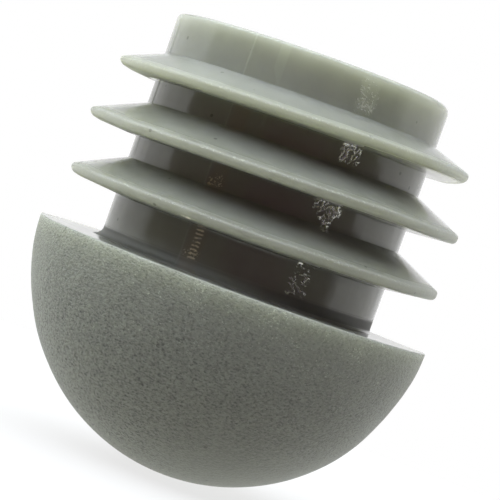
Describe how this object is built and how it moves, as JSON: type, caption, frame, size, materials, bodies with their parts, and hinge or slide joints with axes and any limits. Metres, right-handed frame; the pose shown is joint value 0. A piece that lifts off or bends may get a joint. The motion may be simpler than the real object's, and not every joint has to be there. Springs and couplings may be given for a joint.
{
  "type": "tube end cap",
  "caption": "Domed push-in end cap for a round tube, with a half-ball head, a flat shoulder and a hollow ribbed shank.",
  "frame": {"origin": "centre of the shoulder, the flat ring that the tube's end meets", "axes": "+Z along the cap's axis, from the dome out through the shank, the way the tube leaves it; X and Y are any two square directions, because the cap is round"},
  "size_m": [0.025, 0.025, 0.027],
  "materials": {
    "plastic": "spark-textured dome, glossy ribs and shank"
  },
  "bodies": {
    "root": {"end_cap": "plastic"}
  },
  "joints": []
}
